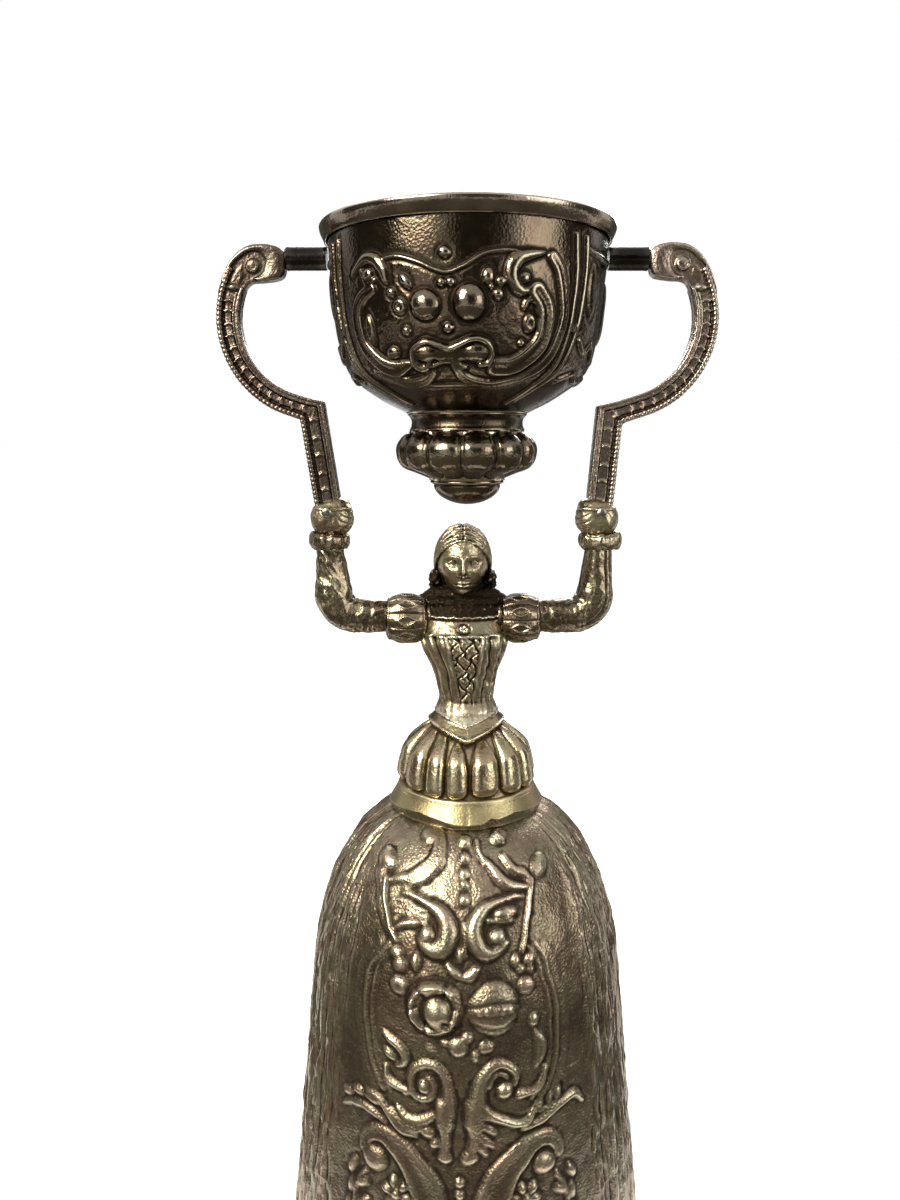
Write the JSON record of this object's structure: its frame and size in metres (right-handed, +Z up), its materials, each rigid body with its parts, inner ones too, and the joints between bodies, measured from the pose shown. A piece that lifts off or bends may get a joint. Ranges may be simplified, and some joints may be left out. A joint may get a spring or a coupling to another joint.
{
  "type": "wager cup",
  "caption": "Figural double drinking cup: a standing lady whose bell skirt is the large cup holds a small footed cup that swivels between two scroll brackets.",
  "frame": {"origin": "centre of the plane that the hem stands on", "axes": "+Z up along the figure, -Y to the figure's front, X along the small cup's pivots"},
  "size_m": [0.0994, 0.0862, 0.2384],
  "materials": {
    "skirt_silver": "chased silver sheet, olive-brown tarnish in the recesses, worn bright on the relief",
    "band_gilt": "smooth yellow-toned silver, lightly tarnished",
    "figure_silver": "cast silver, warm and worn, dark in the folds",
    "bracket_silver": "granular cast silver, coppery brown tarnish",
    "pivot_steel": "nearly black, oxidised, satin",
    "cup_silver": "glossy dark tarnished silver, gunmetal brown"
  },
  "bodies": {
    "figure": {"skirt": "skirt_silver", "hem_rim": "skirt_silver", "waist_band": "band_gilt", "peplum": "figure_silver", "bodice": "figure_silver", "head": "figure_silver", "left_sleeve": "figure_silver", "right_sleeve": "figure_silver", "left_arm": "figure_silver", "right_arm": "figure_silver", "left_cuff": "figure_silver", "right_cuff": "figure_silver", "left_hand": "figure_silver", "right_hand": "figure_silver", "left_bracket": "bracket_silver", "right_bracket": "bracket_silver", "left_rivet": "figure_silver", "right_rivet": "figure_silver", "left_pivot_pin": "pivot_steel", "right_pivot_pin": "pivot_steel", "tie_stud": "figure_silver", "tie_washer": "figure_silver", "tie_nut": "figure_silver"},
    "small_cup": {"bowl": "cup_silver", "bowl_rim": "cup_silver", "bowl_collar": "cup_silver", "knop": "cup_silver", "bowl_foot": "cup_silver", "left_pivot_tube": "pivot_steel", "right_pivot_tube": "pivot_steel"}
  },
  "joints": [
    {"name": "cup_swivel", "type": "hinge", "parent": "figure", "child": "small_cup", "pos_m": [0, 0, 0.2328], "axis": [1, 0, 0], "continuous": true}
  ]
}
